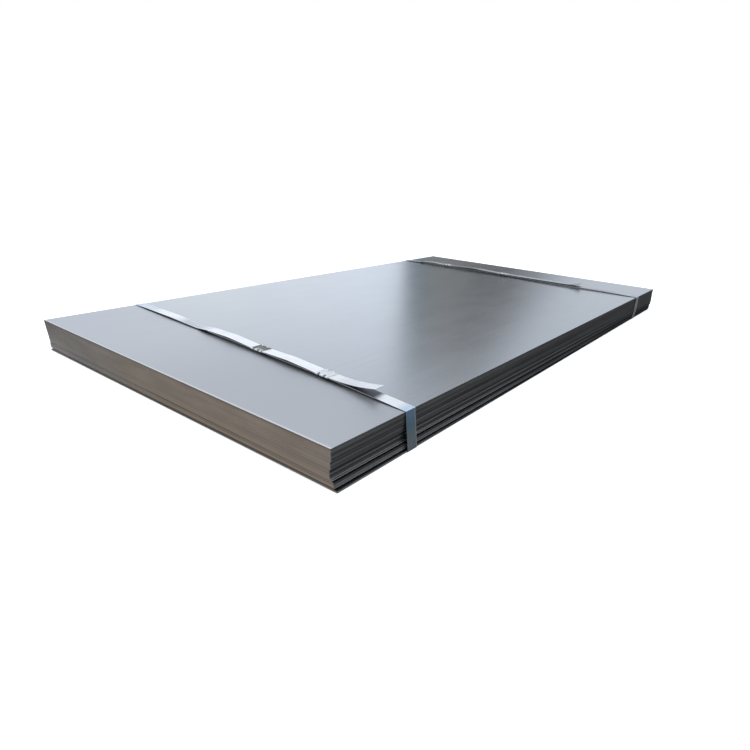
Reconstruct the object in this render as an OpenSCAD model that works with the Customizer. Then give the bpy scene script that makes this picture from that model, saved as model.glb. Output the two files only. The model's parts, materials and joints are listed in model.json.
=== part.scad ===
// A bundle of thin steel sheets, stacked flat and bound by two flat steel straps.
// Left to right is X, front to back is Y. The bundle lies on the floor at Z = 0.

/* [Sheets] */
// Width of one sheet, across the bundle
sheet_w = 1200; // [1100:10:1500]
// Length of one sheet, along the bundle
sheet_l = 2000; // [1500:10:3000]
// Thickness of one sheet
sheet_t = 2; // [1:0.1:3]
// Air that waviness leaves between two sheets
sheet_gap = 0.07; // [0.05:0.01:0.15]
// How far a sheet may lie off the place of its lift, across the bundle
side_stray = 0.8; // [0.1:0.1:2]
// How far a sheet may lie off the place of its lift, along the bundle
end_stray = 0.35; // [0.05:0.05:2]

/* [Lifts] */
// Number of sheets in each lift, from the floor up
lift_count = [2, 1, 7, 1, 1, 10, 8, 13]; // [1:1:20]
// One step of a lift's shove
shove_step = 0.5; // [0.1:0.1:1]
// Steps that each lift is shoved to the right
lift_right = [9, -2, 4, -4, 3, -1, 0, 0]; // [-30:1:30]
// Steps that each lift is shoved to the front
lift_front = [3, -3, 1, -2, 1, 0, 0, 0]; // [-20:1:20]
// Turn of each lift, in degrees, that takes its front end to the right
lift_turn = [0.39, 0.1, 0.12, 0, 0, -0.16, -0.08, 0]; // [-0.5:0.01:0.5]

/* [Straps] */
// Width of a strap
strap_w = 32; // [19:1:40]
// Thickness of a strap
strap_t = 0.9; // [0.6:0.1:1.3]
// Inside radius of a strap's bend round a sheet's edge
strap_bend = 0.6; // [0.3:0.1:1.5]
// Clearance between a strap and the edge that it bears on
strap_fit = 0.1; // [0.05:0.05:0.3]
// Length over which a strap springs up from an edge of the top sheet
spring_run = 70; // [40:5:90]
// How far a strap's single layer bows up on its way to the joint, in percent of that stretch
single_bow = 0.6; // [0.1:0.1:1]
// How far the two layers of a strap bow apart, in percent of the stretch between their seals
layer_bow = 1.6; // [0.2:0.1:2]
// Clearance between the two layers of a strap inside a seal
layer_fit = 0.1; // [0.05:0.05:0.3]
// How far the two layers of a joint stand over the single strap beside them
joint_rise = 4.5; // [0.5:0.5:8]

/* [Front strap] */
// From the front of the sheets to the strap's middle, at the left
front_left = 294; // [150:1:500]
// From the front of the sheets to the strap's middle, at the right
front_right = 228; // [150:1:500]
// From the lower end to the middle of the first seal
front_first_seal = 238; // [80:1:260]
// From the first seal to the second
front_second_seal = 256; // [120:1:280]
// From the second seal to the cut end of the tail
front_tail = 171; // [150:1:190]
// From the cut end of the tail to the right of the sheets
front_tail_end = 86; // [75:1:200]
// Length over which the upper layer climbs onto the lower end
front_climb_run = 60; // [30:1:90]
// Length of the tail's lifted part
front_curl_run = 135; // [40:1:145]
// How far the tail's cut end stands up
front_curl = 15; // [2:0.5:30]

/* [Back strap] */
// From the back of the sheets to the strap's middle
back_inset = 236; // [150:1:500]
// From the left of the sheets to the strap's lower end
back_lower_end = 112; // [100:1:140]
// From the lower end to the middle of the first seal
back_first_seal = 143; // [80:1:160]
// From the first seal to the second
back_second_seal = 321; // [120:1:330]
// From the second seal to the cut end of the tail
back_tail = 382; // [110:1:400]
// Length over which the upper layer climbs onto the lower end
back_climb_run = 26; // [20:1:40]
// Length of the tail's lifted part
back_curl_run = 70; // [40:1:80]
// How far the tail's cut end stands up
back_curl = 9; // [2:0.5:30]

/* [Seals] */
// Length of a seal, along the strap
seal_l = 44; // [36:1:65]
// Thickness of a seal's wall
seal_t = 1; // [0.6:0.1:1.5]
// Inside radius of a seal's folds
seal_bend = 0.4; // [0.2:0.1:0.5]
// Clearance between a seal and the strap inside it
seal_fit = 0.15; // [0.15:0.05:0.3]
// Width of each lip that is folded under the strap
seal_lip = 12; // [8:1:15]
// Air between the top sheet and a seal, before the rise of the joint
seal_clear = 1.6; // [0.2:0.1:3]
// Width of a crimp notch at the strap's edge
notch_w = 7; // [4:0.5:12]
// Depth of a crimp notch into the strap
notch_d = 4.5; // [2:0.5:6]
// Distance between the two notches of an edge
notch_pitch = 20; // [16:1:24]
// Angle at which the tab of a notch is turned up
tab_rise = 60; // [30:5:80]

/* [Hidden] */
// Which lifts each group of sheets takes, first and last
bottom_lifts = [0, 0];
lower_lifts = [1, 2];
middle_lifts = [3, 5];
upper_lifts = [6, 7];

// The stack stands on the straps that run beneath it
bend_room = strap_bend * (1 - cos(45));
strap_off = strap_fit + bend_room;
stack_base = strap_t + strap_off;
sheet_pitch = sheet_t + sheet_gap;
lift_of = [for (k = [0:len(lift_count) - 1]) for (j = [1:lift_count[k]]) k];
sheet_n = len(lift_of);
stack_top = stack_base + sheet_n * sheet_pitch - sheet_gap;
stray_right = rands(-side_stray, side_stray, sheet_n, 7);
stray_front = rands(-end_stray, end_stray, sheet_n, 11);

function sheet_x(i) = shove_step * lift_right[lift_of[i]] + stray_right[i];
function sheet_y(i) = -shove_step * lift_front[lift_of[i]] - stray_front[i];
function sheet_z(i) = stack_base + i * sheet_pitch;
function sheet_turn(i) = lift_turn[lift_of[i]];

// Where a sheet's long edge lies at a place y along the bundle, on side +1 or -1
function edge_x(i, y, side) =
    sheet_x(i) + (side * sheet_w / 2 - (y - sheet_y(i)) * sin(sheet_turn(i))) / cos(sheet_turn(i));
function edge_reach(i, y, side) =
    side * max(side * edge_x(i, y - strap_w / 2, side), side * edge_x(i, y + strap_w / 2, side));

// Direction helpers for the paths of bent strip, drawn clockwise with the outside on the left
function unit(v) = v / norm(v);
function outward(v) = unit([-v[1], v[0]]);
function turned(v, a) = [v[0] * cos(a) - v[1] * sin(a), v[0] * sin(a) + v[1] * cos(a)];

// The corners that a taut band bears on, out of points in order along one side
function taut(points, k = 0, kept = []) =
    k == len(points) ? kept
    : let (n = len(kept))
      n >= 2 && cross(kept[n - 1] - kept[n - 2], points[k] - kept[n - 1]) >= 0
          ? taut(points, k, [for (j = [0:1:n - 2]) kept[j]])
          : taut(points, k + 1, concat(kept, [points[k]]));

// The section of the stack that a strap goes round, from its top right corner clockwise
function section(left_y, right_y) = concat(
    taut([for (i = [sheet_n - 1:-1:0]) for (z = [sheet_t, 0]) [edge_reach(i, right_y, 1), sheet_z(i) + z]]),
    taut([for (i = [0:sheet_n - 1]) for (z = [0, sheet_t]) [edge_reach(i, left_y, -1), sheet_z(i) + z]]));

// A closed outline grown by d
function grown(loop, d) = [for (j = [0:len(loop) - 1])
    let (n = len(loop), here = loop[j])
    let (before = outward(here - loop[(j + n - 1) % n]), after = outward(loop[(j + 1) % n] - here))
    loop[j] + d * (before + after) / (1 + before * after)];

// The arc that rounds a path's corner q, between p and r
arc_step = 15;
function corner_arc(p, q, r, radius) =
    let (a = unit(q - p), b = unit(r - q), turn = acos(min(1, a * b)), way = sign(cross(a, b)))
    let (start = q - a * radius * tan(turn / 2), spoke = -way * radius * outward(a))
    let (steps = ceil(turn / arc_step) + 1)
    way == 0 ? [q] : [for (k = [0:steps]) start - spoke + turned(spoke, way * turn * k / steps)];

// A path of [x, z, bend radius] with its corners rounded
function flat(p) = [p[0], p[1]];
function rounded(path) = concat(
    [flat(path[0])],
    [for (j = [1:len(path) - 2])
        each corner_arc(flat(path[j - 1]), flat(path[j]), flat(path[j + 1]), path[j][2])],
    [flat(path[len(path) - 1])]);

// One face of a strip, at d to the left of its middle line
function side_of(line, d) = [for (j = [0:len(line) - 1])
    let (before = outward(line[max(j, 1)] - line[max(j, 1) - 1]),
         last = min(j, len(line) - 2), after = outward(line[last + 1] - line[last]))
    line[j] + d * (before + after) / (1 + before * after)];
function reversed(v) = [for (j = [len(v) - 1:-1:0]) v[j]];

// A bent strip of the given thickness, lying in the plane of its path
module strip(path, thickness) {
    line = rounded(path);
    polygon(concat(side_of(line, thickness / 2), reversed(side_of(line, -thickness / 2))));
}

// Heights of a strap's middle line over the top sheet
strap_stand = seal_clear + seal_t + seal_fit;
single_h = stack_top + strap_stand + strap_t / 2;
lower_h = single_h + joint_rise;
upper_h = lower_h + strap_t + layer_fit;
edge_bend = strap_bend + strap_t / 2;
soft_bend = 30;
long_bend = 240;
curl_steps = 6;

// Where a strap's ends and seals lie: [lower end, first seal, second seal, tail end], each from the last
front_lower_end = sheet_w - front_tail_end - front_tail - front_second_seal - front_first_seal;
front_stops = [front_lower_end, front_first_seal, front_second_seal, front_tail];
back_stops = [back_lower_end, back_first_seal, back_second_seal, back_tail];
function place(stops, k) = k < 0 ? -sheet_w / 2 : stops[k] + place(stops, k - 1);

// A strap between two places where it is held down, at the height h of its middle line
function bowed(from, to, h, percent) =
    [[(from + to) / 2, h + (to - from) * percent / 100, long_bend], [to, h, soft_bend]];

// A strap's path, from its lower end round the stack and over itself to its tail
function strap_path(stops, left_y, right_y, climb_run, curl_run, curl) =
    let (corners = grown(section(left_y, right_y), strap_off + strap_t / 2))
    let (lower_end = place(stops, 0), seals = [place(stops, 1), place(stops, 2)], tail = place(stops, 3))
    let (left = corners[len(corners) - 1], right = corners[0])
    concat(
        [[lower_end, lower_h, 0], [seals[1] + seal_l / 2, lower_h, soft_bend],
         [right[0] - spring_run, single_h, soft_bend]],
        [for (c = corners) [c[0], c[1], edge_bend]],
        [[left[0] + spring_run, single_h, soft_bend]],
        bowed(left[0] + spring_run, lower_end - climb_run, single_h, single_bow),
        [[lower_end - strap_t, upper_h, soft_bend / 2]],
        bowed(lower_end, seals[0] - seal_l / 2, upper_h, layer_bow),
        [[seals[0] + seal_l / 2, upper_h, soft_bend]],
        bowed(seals[0] + seal_l / 2, seals[1] - seal_l / 2, upper_h, layer_bow),
        [[seals[1] + seal_l / 2, upper_h, soft_bend]],
        [for (k = [0:curl_steps]) let (share = k / curl_steps)
            [tail - curl_run * (1 - share), upper_h + curl * pow(share, 2), soft_bend / 2]]);

// A strap crosses the bundle at a slant when its two ends lie at different places
function slant(left_y, right_y) = atan((right_y - left_y) / sheet_w);
function strap_y(x, left_y, right_y) = (left_y + right_y) / 2 + x * tan(slant(left_y, right_y));

front_left_y = -sheet_l / 2 + front_left;
front_right_y = -sheet_l / 2 + front_right;
back_y = sheet_l / 2 - back_inset;

// The middle of the bundle's own outline, which is where the origin lies
reach_x = [for (i = [0:sheet_n - 1])
    sheet_w / 2 * cos(sheet_turn(i)) + sheet_l / 2 * abs(sin(sheet_turn(i)))];
reach_y = [for (i = [0:sheet_n - 1])
    sheet_l / 2 * cos(sheet_turn(i)) + sheet_w / 2 * abs(sin(sheet_turn(i)))];
strap_reach = [for (s = [[front_left_y, front_right_y], [back_y, back_y]])
    for (p = grown(section(s[0], s[1]), strap_off + strap_t)) p[0]];
sheet_xs = [for (i = [0:sheet_n - 1]) for (side = [-1, 1]) sheet_x(i) + side * reach_x[i]];
sheet_ys = [for (i = [0:sheet_n - 1]) for (side = [-1, 1]) sheet_y(i) + side * reach_y[i]];
all_xs = concat(sheet_xs, strap_reach);
middle = [(max(all_xs) + min(all_xs)) / 2, (max(sheet_ys) + min(sheet_ys)) / 2];

module in_frame() {
    translate([-middle[0], -middle[1], 0]) children();
}

// One sheet at its place in the stack
module sheet(i) {
    translate([sheet_x(i), sheet_y(i), sheet_z(i)])
        rotate(sheet_turn(i))
            translate([-sheet_w / 2, -sheet_l / 2, 0]) cube([sheet_w, sheet_l, sheet_t]);
}

// The sheets of a run of lifts, apart from the topmost sheet
module sheets(lifts) {
    for (i = [0:sheet_n - 2])
        if (lift_of[i] >= lifts[0] && lift_of[i] <= lifts[1]) sheet(i);
}

// What lies at one seal of a strap, with X along the strap and Z = 0 under its lower layer
module at_seal(x, left_y, right_y) {
    translate([x, strap_y(x, left_y, right_y), lower_h - strap_t / 2])
        rotate(slant(left_y, right_y)) children();
}

// The cuts that the crimping jaws make through a seal and both layers of the strap
notch_deep = 4 * (seal_t + strap_t) + 2 * strap_stand;
module notches() {
    mouth = seal_fit + seal_t + strap_t;
    for (x = [-notch_pitch / 2, notch_pitch / 2])
        for (side = [0, 180])
            rotate(side)
                translate([x, strap_w / 2, -notch_deep / 2])
                    linear_extrude(notch_deep)
                        polygon([[-notch_w / 2, mouth], [-notch_w / 4, -notch_d],
                                 [notch_w / 4, -notch_d], [notch_w / 2, mouth]]);
}

// The tabs that the jaws turn up out of a seal's notches, with the seal's plate at the height h
seal_fold = seal_bend + seal_t / 2;
module tabs(h) {
    root = strap_w / 2 - notch_d;
    tip = [root + notch_d * cos(tab_rise), h + notch_d * sin(tab_rise), 0];
    for (x = [-notch_pitch / 2, notch_pitch / 2])
        for (side = [0, 180])
            rotate(side)
                translate([x, 0, 0])
                    rotate([90, 0, 90])
                        linear_extrude(notch_w / 2, center = true)
                            strip([[root - seal_t, h, 0], [root, h, seal_fold], tip], seal_t);
}

// A seal: a plate folded round both layers, with its lips beneath, and crimped
module seal(x, left_y, right_y) {
    half_w = strap_w / 2 + seal_fit + seal_t / 2;
    low = -seal_fit - seal_t / 2;
    high = 2 * strap_t + layer_fit - low;
    lip_end = half_w - seal_lip;
    at_seal(x, left_y, right_y) {
        difference() {
            rotate([90, 0, 90])
                linear_extrude(seal_l, center = true)
                    strip([[-lip_end, low, 0], [-half_w, low, seal_fold], [-half_w, high, seal_fold],
                           [half_w, high, seal_fold], [half_w, low, seal_fold], [lip_end, low, 0]], seal_t);
            notches();
        }
        tabs(high);
    }
}

// A whole strap: the bent strip, cut to its width along its slant, and crimped at its seals
module strap(stops, left_y, right_y, climb_run, curl_run, curl) {
    half_w = strap_w / 2 / cos(slant(left_y, right_y));
    far_x = sheet_w;
    deep = abs(right_y - left_y) + 3 * strap_w;
    tall = 2 * (upper_h + curl);
    difference() {
        intersection() {
            translate([0, (left_y + right_y) / 2, 0])
                rotate([90, 0, 0])
                    linear_extrude(deep, center = true)
                        strip(strap_path(stops, left_y, right_y, climb_run, curl_run, curl), strap_t);
            translate([0, 0, -tall / 4])
                linear_extrude(tall)
                    polygon([for (p = [[-far_x, -half_w], [far_x, -half_w],
                                       [far_x, half_w], [-far_x, half_w]])
                        [p[0], p[1] + strap_y(p[0], left_y, right_y)]]);
        }
        for (k = [1, 2]) at_seal(place(stops, k), left_y, right_y) notches();
    }
}

module bottom_sheets() { color("#6f7276") in_frame() sheets(bottom_lifts); }
module lower_sheets() { color("#77797d") in_frame() sheets(lower_lifts); }
module middle_sheets() { color("#808388") in_frame() sheets(middle_lifts); }
module upper_sheets() { color("#888b90") in_frame() sheets(upper_lifts); }
module top_sheet() { color("#aeb5be") in_frame() sheet(sheet_n - 1); }
module front_strap() {
    color("#d3dae2") in_frame()
        strap(front_stops, front_left_y, front_right_y, front_climb_run, front_curl_run, front_curl);
}
module front_seal(k) {
    color("#b4b9bd") in_frame() seal(place(front_stops, k), front_left_y, front_right_y);
}
module back_strap() {
    color("#c3c9d0") in_frame()
        strap(back_stops, back_y, back_y, back_climb_run, back_curl_run, back_curl);
}
module back_seal(k) { color("#b4b9bd") in_frame() seal(place(back_stops, k), back_y, back_y); }

bottom_sheets();
lower_sheets();
middle_sheets();
upper_sheets();
top_sheet();
front_strap();
front_seal(1);  // front_seal_1
front_seal(2);  // front_seal_2
back_strap();
back_seal(1);  // back_seal_1
back_seal(2);  // back_seal_2
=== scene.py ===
import json
import math

import bpy
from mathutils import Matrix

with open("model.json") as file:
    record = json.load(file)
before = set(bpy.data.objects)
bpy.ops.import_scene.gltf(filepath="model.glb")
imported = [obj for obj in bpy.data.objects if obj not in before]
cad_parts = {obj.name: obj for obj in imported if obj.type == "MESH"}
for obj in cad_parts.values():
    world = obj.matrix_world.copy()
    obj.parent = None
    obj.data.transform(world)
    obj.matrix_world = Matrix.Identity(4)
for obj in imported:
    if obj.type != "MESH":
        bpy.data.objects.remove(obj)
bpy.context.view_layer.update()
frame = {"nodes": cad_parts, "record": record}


# Sheets
# Cold rolled steel, sheared to one size and stacked flat with a film of oil between. The faces keep the
# roll's grain and are dull with oil in front of the front strap. Under both straps they carry a painted
# shadow, the lifts' narrow steps carry painted shade, and the top sheet's front edge a painted highlight.
# The short ends show the shear's cut, browner and lighter to the right, with painted shade in their
# groove and under the top sheet. The long edges are slit and painted dark as shade, darker towards the
# back, with painted shade in their groove and recess and a painted highlight on one ledge.

# Places are in metres, heights up the stack in millimetres, and marks in numbers per metre.
MM_PER_M = 1000.0
WHITE = (1, 1, 1, 1)
TURNED_TO = (0.4, 0.6)

MOUNTS = {mount["name"]: mount["pos_m"] for mount in frame["record"]["mounts"]}
FRONT_SLANT = 0.055
FRONT_LINE = (MOUNTS["front_strap_underside"][1], FRONT_SLANT)
BACK_LINE = (MOUNTS["back_strap_underside"][1], 0.0)

SHEET_GRAIN = (260, 2.2, 1)
GRAIN_TONES = (0.34, 0.66)
GRAIN_RELIEF = (0.1, 0.00001)
SMEARS = (11, 5, 1)
FACE_DULL = (0.548, 0.555, 0.568, 1)
FACE_BRIGHT = (0.568, 0.575, 0.588, 1)
FACE_OILY = (0.490, 0.497, 0.508, 1)
OILY_BEFORE = (-0.02, 0.02)
OILY_RIGHT = (-0.3, 0.25)
# Painted highlight: a pale line along the top sheet's front edge, where the edge catches the sky.
FACE_EDGE_HIGHLIGHT = (0.70, 0.695, 0.70, 1)
EDGE_HIGHLIGHT_BEFORE = (-0.9955, -0.9925)
# Painted shade on the narrow steps where a lift stands out: nearly black on the low steps, less dark at
# the ledge, and greyer to the left.
STEP_SHADE_LEFT = (0.4, 0.4, 0.4, 1)
STEP_RIGHT = (-0.35, 0.15)
STEP_SHADE_BANDS = [(0, 0.03), (23.0, 0.03), (25.0, 0.55), (27.0, 0.55), (28.0, 0.30), (90.2, 0.30)]
TOP_FACE = (86.0, 88.5)
# Painted shadow: a dark stripe on the sheet under each strap.
STRAP_SHADOW_WIDTH = (0.0125, 0.0165)
STRAP_SHADOW_DARK = (0.03, 0.03, 0.03, 1)
FACE_ROUGH = (0.35, 0.65, 0.225, 0.25)
GRAIN_SHARE = 0.3
OILY_ROUGHER = 1.55

EDGE_LINES = (1.2, 0.8, 430)
EDGE_PATCHES = (9, 7, 60)
EDGE_ROUGH = (0.3, 0.7, 0.36, 0.44)
# The short ends get browner and lighter towards the right.
END_ALONG = [
    (-0.61, (0.53, 0.525, 0.515, 1)),
    (-0.35, (0.52, 0.505, 0.485, 1)),
    (-0.05, (0.60, 0.545, 0.48, 1)),
    (0.30, (0.63, 0.565, 0.50, 1)),
    (0.61, (0.63, 0.57, 0.525, 1)),
]
# Lines on the short ends by height, with painted shade in the groove at 5.3 to 7.3 mm, in the recess at
# 21.9 to 23.9 mm and under the top sheet's edge.
END_LINES_AND_SHADE = [
    (0, 0.7), (5.2, 0.85), (5.3, 0.12), (7.3, 0.12), (7.4, 0.36), (9.0, 0.55), (11.0, 1.08), (14.0, 1.05),
    (17.0, 0.95), (21.8, 1.02), (21.9, 0.72), (23.9, 0.72), (24.0, 0.98), (28.0, 1.06), (34.0, 0.95),
    (42.0, 1.0), (80.0, 1.0), (85.0, 0.94), (88.0, 0.62), (90.2, 0.62),
]
BANDS_RIGHT = (-0.25, 0.45)
BANDS_HIGH = (60.0, 80.0)
LEFT_END = (-0.55, -0.38)
LEFT_RISE = (8.0, 86.0)
LEFT_LOW = (1.2, 1.2, 1.2, 1)
LEFT_HIGH = (0.86, 0.86, 0.86, 1)
END_PATCHY = (25.0, 60.0)
END_CONTRAST = (0.3, 0.7, 0.95, 1.05)

# Lines on the long sides by height over a base painted dark as shade, with painted shade in the groove at
# 5.3 to 7.3 mm and in the recess at 21.9 to 23.9 mm, and a painted highlight on the ledge at 24 to 26 mm.
SIDE_LINES_SHADE_AND_HIGHLIGHT = [
    (0, 0.95), (5.2, 1.0), (5.3, 0.02), (7.3, 0.02), (7.4, 1.0), (9.5, 0.95), (13.0, 0.90), (15.5, 0.52),
    (18.0, 0.34), (21.8, 0.22), (21.9, 0.03), (23.9, 0.04), (24.0, 1.0), (26.0, 1.0), (26.1, 0.34),
    (28.0, 0.27), (30.0, 0.17), (35.5, 0.16), (38.5, 0.58), (42.0, 0.13), (47.0, 0.32), (56.0, 0.38),
    (62.0, 0.30), (74.0, 0.38), (80.0, 0.30), (86.0, 0.46), (90.2, 0.36),
]
# Painted shade along the long sides, darker towards the back; the low lifts and the bottom sheets darken
# faster.
SIDE_SHADE_ALONG = [
    (-1.0, 1.0), (-0.7, 0.97), (-0.4, 0.85), (-0.1, 0.68), (0.2, 0.68), (0.5, 0.56), (1.0, 0.56),
]
LOW_SHADE_ALONG = [
    (-1.0, 1.0), (-0.7, 0.90), (-0.4, 0.60), (-0.1, 0.38), (0.2, 0.32), (0.5, 0.14), (1.0, 0.12),
]
BOTTOM_SHADE_ALONG = [(-1.0, 1.0), (-0.8, 0.85), (-0.6, 0.45), (-0.45, 0.16), (-0.2, 0.06), (1.0, 0.04)]
LOW_TOP = (22.0, 24.0)
BOTTOM_TOP = (5.25, 5.3)
SIDE_CONTRAST = (0.35, 0.68, 0.58, 1.5)


def new_finish(name):
    material = bpy.data.materials.new(name)
    material.use_nodes = True
    material.node_tree.nodes["Principled BSDF"].inputs["Metallic"].default_value = 1.0
    return material


def add_node(tree, kind, **settings):
    node = tree.nodes.new(kind)
    for name, value in settings.items():
        setattr(node, name, value)
    return node


def feed(tree, node, **values):
    """Sets or links a node's inputs, by socket name with spaces as underscores, or by number as in_0."""
    for name, value in values.items():
        by_number = name.startswith("in_")
        socket = node.inputs[int(name[3:]) if by_number else name.replace("_", " ")]
        if isinstance(value, bpy.types.NodeSocket):
            tree.links.new(value, socket)
        else:
            socket.default_value = value
    return node


def marks(tree, stretch, detail=3.0, roughness=0.5, seed=0.0):
    """Noise over the object's own coordinates, with the given number of marks per metre each way."""
    coords = add_node(tree, "ShaderNodeTexCoord")
    mapping = add_node(tree, "ShaderNodeMapping")
    feed(tree, mapping, Vector=coords.outputs["Object"], Scale=stretch, Location=(seed, seed, seed))
    noise = add_node(tree, "ShaderNodeTexNoise")
    feed(tree, noise, Vector=mapping.outputs["Vector"], Scale=1.0, Detail=detail, Roughness=roughness)
    return noise.outputs["Fac"]


def spread(tree, value, low, high, to_low=0.0, to_high=1.0):
    """Maps a value from one range to another, with soft ends."""
    node = add_node(tree, "ShaderNodeMapRange", interpolation_type="SMOOTHSTEP")
    feed(tree, node, Value=value, From_Min=low, From_Max=high, To_Min=to_low, To_Max=to_high)
    return node.outputs["Result"]


def below(tree, value, low, high):
    """1 under a range and 0 over it, with soft ends."""
    return spread(tree, value, low, high, 1.0, 0.0)


def math_node(tree, operation, first, second=0.0):
    node = add_node(tree, "ShaderNodeMath", operation=operation)
    feed(tree, node, in_0=first, in_1=second)
    return node.outputs["Value"]


def blend_colour(tree, share, first, second, way="MIX"):
    node = add_node(tree, "ShaderNodeMix", data_type="RGBA", blend_type=way)
    feed(tree, node, in_0=share, in_6=first, in_7=second)
    return node.outputs[2]


def tinted(tree, colour, tint):
    return blend_colour(tree, 1.0, colour, tint, "MULTIPLY")


def blend_value(tree, share, first, second):
    node = add_node(tree, "ShaderNodeMix", data_type="FLOAT")
    feed(tree, node, in_0=share, in_2=first, in_3=second)
    return node.outputs[0]


def colour_steps(tree, value, stops):
    """A colour that follows a value, from stops of the value with a colour or a grey for each."""
    low, high = stops[0][0], stops[-1][0]
    share = add_node(tree, "ShaderNodeMapRange")
    feed(tree, share, Value=value, From_Min=low, From_Max=high)
    ramp = add_node(tree, "ShaderNodeValToRGB")
    elements = ramp.color_ramp.elements
    for place, _ in stops[1:-1]:
        elements.new((place - low) / (high - low))
    for element, (_, colour) in zip(elements, stops):
        element.color = colour if isinstance(colour, tuple) else (colour, colour, colour, 1)
    feed(tree, ramp, Fac=share.outputs["Result"])
    return ramp.outputs["Color"]


def split(tree, vector):
    parts = add_node(tree, "ShaderNodeSeparateXYZ")
    feed(tree, parts, Vector=vector)
    return parts.outputs


def place_on(tree):
    """A point's own X, Y and Z on the object, in metres."""
    return split(tree, add_node(tree, "ShaderNodeTexCoord").outputs["Object"])


def facing(tree):
    """Which way a surface faces: X, Y and Z with their signs, and then without."""
    normal = add_node(tree, "ShaderNodeNewGeometry").outputs["True Normal"]
    plain = add_node(tree, "ShaderNodeVectorMath", operation="ABSOLUTE")
    feed(tree, plain, in_0=normal)
    return split(tree, normal), split(tree, plain.outputs["Vector"])


def off_line(tree, place, line):
    """How far a point lies behind a strap's middle line, which may cross the bundle at a slant."""
    middle, slant = line
    along = math_node(tree, "ADD", place["Y"], math_node(tree, "MULTIPLY", place["X"], slant))
    return math_node(tree, "SUBTRACT", along, middle)


def relief(tree, height, strength, depth):
    """Shallow relief from marks, with its depth in metres."""
    bump = add_node(tree, "ShaderNodeBump")
    feed(tree, bump, Height=height, Strength=strength, Distance=depth)
    return bump.outputs["Normal"]


def sheet_face(tree, place, height, grain, in_front):
    """The flat of a sheet: the top of the stack and the narrow steps where a lift stands out, with
    painted shade on the steps, painted shadow under the straps and a painted highlight at the front edge.
    """
    face = blend_colour(tree, spread(tree, grain, *GRAIN_TONES), FACE_DULL, FACE_BRIGHT)
    oily = math_node(tree, "MULTIPLY", in_front, spread(tree, place["X"], *OILY_RIGHT))
    face = blend_colour(tree, oily, face, FACE_OILY)
    face = blend_colour(tree, below(tree, place["Y"], *EDGE_HIGHLIGHT_BEFORE), face, FACE_EDGE_HIGHLIGHT)
    bands = colour_steps(tree, height, STEP_SHADE_BANDS)
    steps = blend_colour(tree, spread(tree, place["X"], *STEP_RIGHT), STEP_SHADE_LEFT, bands)
    steps = blend_colour(tree, spread(tree, height, *TOP_FACE), steps, WHITE)
    face = tinted(tree, face, steps)
    for line in (FRONT_LINE, BACK_LINE):
        off = math_node(tree, "ABSOLUTE", off_line(tree, place, line))
        face = blend_colour(tree, below(tree, off, *STRAP_SHADOW_WIDTH), face, STRAP_SHADOW_DARK)
    return face


def sheet_end(tree, place, height, lines, patches):
    """The stack's short ends: sheared, browner and lighter to the right, with the low lifts' lines there
    and painted shade in their groove and under the top sheet.
    """
    on_bands = math_node(tree, "MAXIMUM", spread(tree, place["X"], *BANDS_RIGHT),
                         spread(tree, height, *BANDS_HIGH))
    bands = blend_colour(tree, on_bands, WHITE, colour_steps(tree, height, END_LINES_AND_SHADE))
    end = tinted(tree, colour_steps(tree, place["X"], END_ALONG), bands)
    grade = blend_colour(tree, spread(tree, height, *LEFT_RISE), LEFT_LOW, LEFT_HIGH)
    grade = blend_colour(tree, spread(tree, place["X"], *LEFT_END), grade, WHITE)
    end = tinted(tree, end, grade)
    end_marks = blend_value(tree, spread(tree, height, *END_PATCHY), lines, patches)
    return tinted(tree, end, spread(tree, end_marks, *END_CONTRAST))


def sheet_side(tree, place, height, lines):
    """The stack's long sides: slit edges in dark and pale lines over a base painted dark as shade, darker
    towards the back, with painted shade in the groove and recess and a painted highlight on a ledge.
    """
    low = colour_steps(tree, place["Y"], LOW_SHADE_ALONG)
    along = colour_steps(tree, place["Y"], SIDE_SHADE_ALONG)
    along = blend_colour(tree, spread(tree, height, *LOW_TOP), low, along)
    bottom = colour_steps(tree, place["Y"], BOTTOM_SHADE_ALONG)
    along = blend_colour(tree, spread(tree, height, *BOTTOM_TOP), bottom, along)
    side = tinted(tree, colour_steps(tree, height, SIDE_LINES_SHADE_AND_HIGHLIGHT), along)
    return tinted(tree, side, spread(tree, lines, *SIDE_CONTRAST))


def sheet_steel():
    material = new_finish("cold_rolled_sheet")
    tree = material.node_tree
    _, towards = facing(tree)
    place = place_on(tree)
    height = math_node(tree, "MULTIPLY", place["Z"], MM_PER_M)
    is_face = spread(tree, towards["Z"], *TURNED_TO)
    is_end = spread(tree, towards["Y"], *TURNED_TO)

    grain = marks(tree, SHEET_GRAIN, detail=4.0)
    smears = marks(tree, SMEARS, detail=5.0, roughness=0.6, seed=9.0)
    lines = marks(tree, EDGE_LINES, detail=3.0, roughness=0.6, seed=2.0)
    patches = marks(tree, EDGE_PATCHES, detail=3.0, seed=6.0)
    in_front = below(tree, off_line(tree, place, FRONT_LINE), *OILY_BEFORE)

    face = sheet_face(tree, place, height, grain, in_front)
    end = sheet_end(tree, place, height, lines, patches)
    side = sheet_side(tree, place, height, lines)
    colour = blend_colour(tree, is_face, blend_colour(tree, is_end, side, end), face)

    face_rough = spread(tree, blend_value(tree, GRAIN_SHARE, smears, grain), *FACE_ROUGH)
    rougher = spread(tree, in_front, 0.0, 1.0, 1.0, OILY_ROUGHER)
    face_rough = math_node(tree, "MULTIPLY", face_rough, rougher)
    rough = blend_value(tree, is_face, spread(tree, patches, *EDGE_ROUGH), face_rough)

    shader = tree.nodes["Principled BSDF"]
    normal = relief(tree, grain, *GRAIN_RELIEF)
    feed(tree, shader, Base_Color=colour, Roughness=rough, Normal=normal)
    return material


def dress(finish, *names):
    """Gives a finish to CAD nodes."""
    for name in names:
        frame["nodes"][name].material_slots[0].material = finish


dress(sheet_steel(), "bottom_sheets", "lower_sheets", "middle_sheets", "upper_sheets", "top_sheet")


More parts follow.
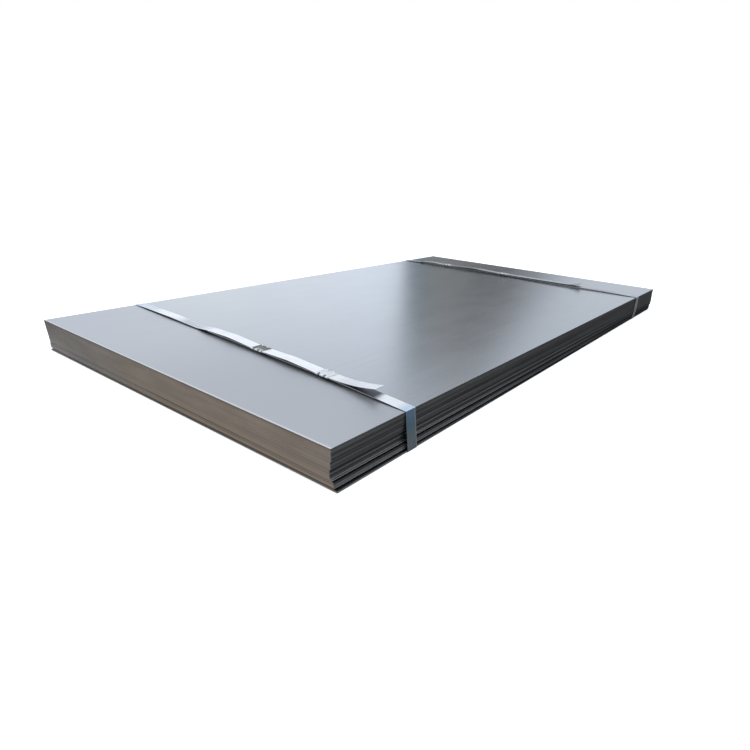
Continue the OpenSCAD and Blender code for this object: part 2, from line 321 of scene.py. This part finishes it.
# Straps
# Flat zinc coated steel strapping, 32 mm wide, pulled round the stack by a tensioner. It is scuffed along
# its run where it slid over itself and bent sharply round the sheets' edges. Along its top, painted shade
# and painted reflection give dull stretches, a darker patch by the tail and a blue tint on the bend. It
# is painted dark underneath as shade, apart from the front strap's bright lip and tail, and the lower
# layer of each joint is painted dark as shade between the layers. Each side run has a painted highlight
# on its far edge, the front strap's lower cut edge a painted highlight, and the back strap's top painted
# shade.

# Painted shade and painted reflection along the strap's top: dull stretches to the left, a darker patch
# by the tail and the sky's blue on the bend.
STRAP_SHADING_ALONG = [
    (-0.61, (0.66, 0.70, 0.75, 1)),
    (-0.50, (0.74, 0.78, 0.83, 1)),
    (-0.43, (0.97, 0.98, 0.97, 1)),
    (-0.35, (0.97, 0.96, 0.95, 1)),
    (-0.29, (0.64, 0.645, 0.67, 1)),
    (-0.20, (0.62, 0.63, 0.65, 1)),
    (-0.15, (0.97, 0.96, 0.96, 1)),
    (0.10, (1.0, 0.985, 0.965, 1)),
    (0.34, (1.0, 0.985, 0.965, 1)),
    (0.42, (0.80, 0.79, 0.80, 1)),
    (0.49, (0.82, 0.81, 0.82, 1)),
    (0.52, (1.0, 1.0, 0.98, 1)),
    (0.565, (0.97, 0.99, 0.98, 1)),
    (0.585, (0.70, 0.79, 0.90, 1)),
    (0.61, (0.66, 0.77, 0.90, 1)),
]
TOP_SCUFFS = (5, 420, 420)
SIDE_SCUFFS = (420, 420, 9)
STRAP_BLOTCHES = (26, 26, 26)
BLOTCH_SHARE = 0.5
SCUFF_RELIEF = (0.3, 0.0001)
TOP_CONTRAST = (0.34, 0.62, 0.86, 1.04)
SIDE_TONES = (0.3, 0.7, 0.85, 1.15)
STRAP_ROUGH = (0.35, 0.65, 0.46, 0.32)
UNDER_ROUGH = 0.12
STRAP_SHADED = (0.10, 0.105, 0.115, 1)
# Painted shade: faces that look down are nearly black.
STRAP_UNDER_SHADE = (0.012, 0.013, 0.016, 1)
FACES_DOWN = (-0.6, -0.3)
STRAP_LIP = (0.97, 0.98, 1.0, 1)
LIP_BEFORE = (-0.016, -0.002)
TAIL_FROM = (0.38, 0.46)
STRAP_CUT = (0.20, 0.205, 0.22, 1)
# Painted highlight: the front strap's lower layer shows a pale cut edge.
STRAP_LOW_CUT_HIGHLIGHT = (0.80, 0.81, 0.83, 1)
CUT_FACES = (0.5, 0.7)
FRONT_SIDE = [
    (0.0, (0.52, 0.60, 0.63, 1)),
    (0.035, (0.50, 0.60, 0.65, 1)),
    (0.060, (0.38, 0.57, 0.75, 1)),
    (0.091, (0.40, 0.60, 0.80, 1)),
]
BACK_SIDE = [(0.0, (0.95, 0.95, 0.96, 1)), (0.091, (1.0, 1.0, 1.0, 1))]
# Painted shade: the back strap's top is darker.
BACK_TOP_SHADE = (0.62, 0.62, 0.64, 1)
# Painted highlight on the far edge of a strap's side run.
STRAP_EDGE_GLINT = (0.92, 0.94, 0.96, 1)
EDGE_GLINT_BEHIND = (0.0125, 0.0145)
FRONT_JOINT = (-0.152, 0.52)
BACK_JOINT = (-0.489, 0.36)
JOINT_ENDS = (0.004, 0.02)
BETWEEN_LAYERS = (0.0988, 0.0992)


def lower_layer(tree, place, joint):
    """Where a strap is the lower of the two layers of its joint."""
    start, end = joint
    past_start = spread(tree, place["X"], start, start + JOINT_ENDS[0])
    before_end = below(tree, place["X"], end - JOINT_ENDS[1], end)
    in_joint = math_node(tree, "MULTIPLY", past_start, before_end)
    return math_node(tree, "MULTIPLY", in_joint, below(tree, place["Z"], *BETWEEN_LAYERS))


def strap_steel(name, top_shade, side_stops, under_lip, low_cut, line, joint):
    material = new_finish(name)
    tree = material.node_tree
    signed, towards = facing(tree)
    place = place_on(tree)
    across = off_line(tree, place, line)
    upright = spread(tree, towards["X"], *TURNED_TO)
    faces_down = below(tree, signed["Z"], *FACES_DOWN)
    lower = lower_layer(tree, place, joint)

    along_top = marks(tree, TOP_SCUFFS, detail=4.0)
    along_side = marks(tree, SIDE_SCUFFS, detail=4.0)
    scuffs = blend_value(tree, upright, along_top, along_side)
    blotches = marks(tree, STRAP_BLOTCHES, detail=4.0, roughness=0.6, seed=3.0)
    tone = blend_value(tree, BLOTCH_SHARE, scuffs, blotches)

    top = tinted(tree, colour_steps(tree, place["X"], STRAP_SHADING_ALONG), spread(tree, tone, *TOP_CONTRAST))
    top = blend_colour(tree, lower, top, STRAP_SHADED)
    side = colour_steps(tree, place["Z"], side_stops)
    side = blend_colour(tree, spread(tree, across, *EDGE_GLINT_BEHIND), side, STRAP_EDGE_GLINT)
    side = tinted(tree, side, spread(tree, tone, *SIDE_TONES))
    colour = blend_colour(tree, upright, tinted(tree, top, top_shade), side)
    cut = blend_colour(tree, lower, STRAP_CUT, low_cut)
    colour = blend_colour(tree, spread(tree, towards["Y"], *CUT_FACES), colour, cut)
    lip = math_node(tree, "MAXIMUM", below(tree, across, *LIP_BEFORE),
                    spread(tree, place["X"], *TAIL_FROM))
    under = blend_colour(tree, lip, STRAP_UNDER_SHADE, under_lip)
    colour = blend_colour(tree, faces_down, colour, under)

    rough = blend_value(tree, faces_down, spread(tree, tone, *STRAP_ROUGH), UNDER_ROUGH)
    shader = tree.nodes["Principled BSDF"]
    normal = relief(tree, scuffs, *SCUFF_RELIEF)
    feed(tree, shader, Base_Color=colour, Roughness=rough, Normal=normal)
    return material


front_finish = strap_steel("zinc_strapping", WHITE, FRONT_SIDE, STRAP_LIP, STRAP_LOW_CUT_HIGHLIGHT,
                           FRONT_LINE, FRONT_JOINT)
back_finish = strap_steel("shaded_back_strapping", BACK_TOP_SHADE, BACK_SIDE, STRAP_UNDER_SHADE, STRAP_UNDER_SHADE,
                          BACK_LINE, BACK_JOINT)
dress(front_finish, "front_strap")
dress(back_finish, "back_strap")


# Seals
# Short sleeves of thicker steel, folded round both layers of a strap and crimped by a notching tool. They
# are dull zinc and stained to the rear. Their forward faces carry a painted highlight on the front
# strap's pair and painted shade on the back pair, and they are painted dark underneath as shade.

SEAL_BLOTCHES = (70, 70, 70)
SEAL_SCRATCHES = (500, 40, 200)
SCRATCH_SHARE = 0.35
BLOTCH_RELIEF = (0.3, 0.0002)
SEAL_STAIN = (0.20, 0.187, 0.165, 1)
SEAL_ZINC = (0.74, 0.75, 0.76, 1)
FIRST_STAIN = 0.49
SECOND_STAIN = 0.24
BACK_STAIN = 0.30
STAIN_SOFT = 0.1
STAIN_BEHIND = (-0.014, 0.004)
REAR_STAIN = 0.16
# Painted highlight and painted shade on the faces that look forward.
FOLD_HIGHLIGHT = (0.95, 0.95, 0.95, 1)
FOLD_SHADE = (0.16, 0.16, 0.165, 1)
FACES_FRONT = (-0.6, -0.2)
SEAL_ROUGH = (0.35, 0.65, 0.6, 0.42)


def seal_steel(name, stain, line, fold_shading):
    material = new_finish(name)
    tree = material.node_tree
    signed, _ = facing(tree)
    rear = spread(tree, off_line(tree, place_on(tree), line), *STAIN_BEHIND, 0.0, REAR_STAIN)
    blotches = marks(tree, SEAL_BLOTCHES, detail=5.0, roughness=0.65, seed=5.0)
    scratches = marks(tree, SEAL_SCRATCHES, detail=3.0, seed=8.0)
    worn = blend_value(tree, SCRATCH_SHARE, blotches, scratches)
    tone = math_node(tree, "SUBTRACT", worn, rear)
    clean = spread(tree, tone, stain - STAIN_SOFT, stain + STAIN_SOFT)
    colour = blend_colour(tree, clean, SEAL_STAIN, SEAL_ZINC)
    colour = blend_colour(tree, below(tree, signed["Y"], *FACES_FRONT), colour, fold_shading)
    colour = blend_colour(tree, below(tree, signed["Z"], *FACES_DOWN), colour, STRAP_UNDER_SHADE)
    rough = spread(tree, tone, *SEAL_ROUGH)
    shader = tree.nodes["Principled BSDF"]
    normal = relief(tree, blotches, *BLOTCH_RELIEF)
    feed(tree, shader, Base_Color=colour, Roughness=rough, Normal=normal)
    return material


dress(seal_steel("stained_zinc_seal", FIRST_STAIN, FRONT_LINE, FOLD_HIGHLIGHT), "front_seal_1")
dress(seal_steel("pale_zinc_seal", SECOND_STAIN, FRONT_LINE, FOLD_HIGHLIGHT), "front_seal_2")
dress(seal_steel("shaded_fold_zinc_seal", BACK_STAIN, BACK_LINE, FOLD_SHADE), "back_seal_1", "back_seal_2")


# Floor
# A plain white studio floor that the bundle lies on. It stays out of the steel's reflections, which show
# the surroundings instead, and glows a little, which lightens the bundle's shadow.

FLOOR_SIZE = 120.0
FLOOR_GLOW = 0.45
FLOOR_ROUGH = 0.9

bpy.ops.object.select_all(action="DESELECT")
bpy.ops.mesh.primitive_plane_add(size=FLOOR_SIZE, location=(0, 0, 0))
floor = bpy.context.object
floor.name = "studio_floor"
floor.visible_glossy = False
floor.visible_shadow = False
floor_paint = new_finish("floor_paint")
floor_shader = floor_paint.node_tree.nodes["Principled BSDF"]
floor_shader.inputs["Metallic"].default_value = 0.0
floor_shader.inputs["Base Color"].default_value = WHITE
floor_shader.inputs["Emission Color"].default_value = WHITE
floor_shader.inputs["Emission Strength"].default_value = FLOOR_GLOW
floor_shader.inputs["Roughness"].default_value = FLOOR_ROUGH
floor_shader.inputs["Specular IOR Level"].default_value = 0.0
floor.data.materials.append(floor_paint)


# Light
# A wide soft lamp overhead, and surroundings for the steel to mirror: a pale sky with one dark upright
# shape in it beyond the bundle, and ground that is warm at the front and dark on the right.

# Turns are in degrees from +Y towards +X, and rises in degrees over the horizon.
LAMP_PLACE = (0, 0, 5)
LAMP_STRENGTH = 1.3
LAMP_SPREAD = math.radians(110)
SKY_STOPS = [
    (-180, (0.92, 0.98, 1.06, 1)),
    (-75, (0.86, 0.94, 1.07, 1)),
    (-60, (1.02, 1.09, 1.18, 1)),
    (-40, (1.00, 1.10, 1.23, 1)),
    (-20, (0.71, 0.775, 0.86, 1)),
    (60, (0.72, 0.76, 0.82, 1)),
    (180, (0.92, 0.98, 1.06, 1)),
]
GROUND_STOPS = [
    (-180, (0.34, 0.30, 0.26, 1)),
    (-90, (0.22, 0.21, 0.20, 1)),
    (0, (0.04, 0.04, 0.04, 1)),
    (16, (0.03, 0.031, 0.033, 1)),
    (30, (0.065, 0.067, 0.07, 1)),
    (45, (0.11, 0.112, 0.118, 1)),
    (75, (0.12, 0.122, 0.128, 1)),
    (110, (0.06, 0.062, 0.067, 1)),
    (150, (0.30, 0.27, 0.235, 1)),
    (180, (0.34, 0.30, 0.26, 1)),
]
HORIZON = (-0.01, 0.03)
SHAPE_STOPS = [
    (-180, (0.11, 0.155, 0.20, 1)),
    (-38, (0.11, 0.155, 0.20, 1)),
    (-36.5, (0.11, 0.15, 0.185, 1)),
    (-34.5, (0.205, 0.215, 0.20, 1)),
    (-33, (0.19, 0.19, 0.18, 1)),
    (-29, (0.10, 0.098, 0.096, 1)),
    (-25, (0.07, 0.067, 0.065, 1)),
    (180, (0.07, 0.067, 0.065, 1)),
]
SHAPE_LEFT = (-38.3, -37.3)
SHAPE_RIGHT = (-25.0, -23.0)
SHAPE_LEAN = 0.6
LEAN_FROM = 12.0
SHAPE_TOP = (16.0, 28.0)
HIGH_SKY = (0.60, 0.66, 0.75, 1)
HIGH_SKY_RISE = (9.0, 30.0)


def surroundings():
    world = bpy.data.worlds.new("surroundings")
    world.use_nodes = True
    tree = world.node_tree
    aim = split(tree, add_node(tree, "ShaderNodeTexCoord").outputs["Generated"])
    turn = math_node(tree, "DEGREES", math_node(tree, "ARCTAN2", aim["X"], aim["Y"]))
    rise = math_node(tree, "DEGREES", math_node(tree, "ARCSINE", aim["Z"]))
    sky = colour_steps(tree, turn, SKY_STOPS)
    ground = colour_steps(tree, turn, GROUND_STOPS)

    left = spread(tree, turn, *SHAPE_LEFT)
    lean = math_node(tree, "MULTIPLY", math_node(tree, "SUBTRACT", rise, LEAN_FROM), SHAPE_LEAN)
    right = below(tree, math_node(tree, "ADD", turn, lean), *SHAPE_RIGHT)
    top = below(tree, rise, *SHAPE_TOP)
    shape = math_node(tree, "MULTIPLY", math_node(tree, "MULTIPLY", left, right), top)
    sky = blend_colour(tree, spread(tree, rise, *HIGH_SKY_RISE), sky, HIGH_SKY)
    sky = blend_colour(tree, shape, sky, colour_steps(tree, turn, SHAPE_STOPS))

    seen = blend_colour(tree, spread(tree, aim["Z"], *HORIZON), ground, sky)
    path = add_node(tree, "ShaderNodeLightPath")
    seen = blend_colour(tree, path.outputs["Is Camera Ray"], seen, WHITE)
    feed(tree, tree.nodes["Background"], Color=seen)
    return world


bpy.context.scene.world = surroundings()
bpy.ops.object.light_add(type="SUN", location=LAMP_PLACE)
lamp = bpy.context.object
lamp.name = "overhead_lamp"
lamp.data.energy = LAMP_STRENGTH
lamp.data.angle = LAMP_SPREAD


# Camera
# It stands over the bundle's right front corner and looks down along it. Its place, turn, lens and shift
# were fitted to the bundle's corners in the picture.

EYE = (1.1807, -1.5594, 0.5299)
TURN = (62.333, -2.054, 38.231)
SENSOR = 36.0
LENS = 25.114
SHIFT = (-0.0382, 0.0887)
NEAREST = 0.02

bpy.ops.object.camera_add(location=EYE, rotation=[math.radians(a) for a in TURN])
camera = bpy.context.object
camera.data.sensor_width = SENSOR
camera.data.lens = LENS
camera.data.shift_x, camera.data.shift_y = SHIFT
camera.data.clip_start = NEAREST
bpy.context.scene.camera = camera
bpy.context.scene.view_settings.view_transform = "Standard"
